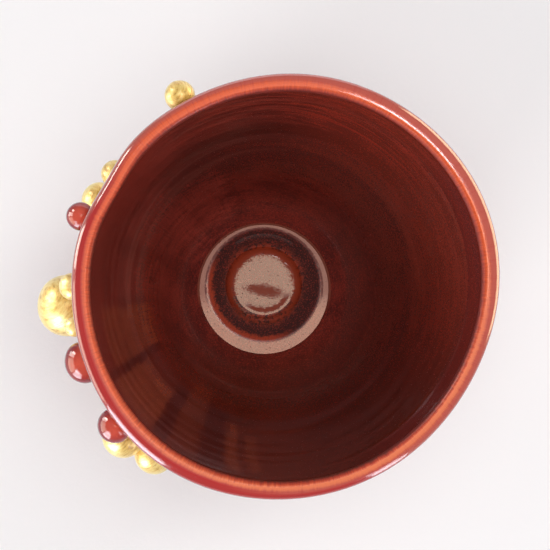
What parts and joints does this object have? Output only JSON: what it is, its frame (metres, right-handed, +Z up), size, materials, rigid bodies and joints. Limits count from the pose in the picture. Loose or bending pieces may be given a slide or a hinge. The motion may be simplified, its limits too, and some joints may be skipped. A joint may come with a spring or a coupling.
{
  "type": "handmade cup",
  "caption": "Hand-thrown glazed cup with a softly wavy lip, a turned foot ring and small applied clay balls on one side.",
  "frame": {"origin": "centre of the foot ring's resting face", "axes": "+Z up the cup's axis towards the mouth; the applied balls are on the -X side"},
  "size_m": [0.0997, 0.0899, 0.0954],
  "materials": {
    "clay": "bare fired clay",
    "liner_glaze": "gloss oxblood",
    "outer_glaze": "gloss crimson",
    "gold_lustre": "mottled gold lustre",
    "red_glaze": "gloss red"
  },
  "bodies": {
    "root": {"clay_body": "clay", "liner_glaze": "liner_glaze", "outer_glaze": "outer_glaze", "gold_ball_1": "gold_lustre", "gold_ball_2": "gold_lustre", "gold_ball_3": "gold_lustre", "gold_ball_4": "gold_lustre", "gold_ball_5": "gold_lustre", "gold_ball_6": "gold_lustre", "gold_ball_7": "gold_lustre", "gold_ball_8": "gold_lustre", "gold_ball_9": "gold_lustre", "gold_ball_10": "gold_lustre", "gold_ball_11": "gold_lustre", "red_ball_1": "red_glaze", "red_ball_2": "red_glaze", "red_ball_3": "red_glaze"}
  },
  "joints": []
}
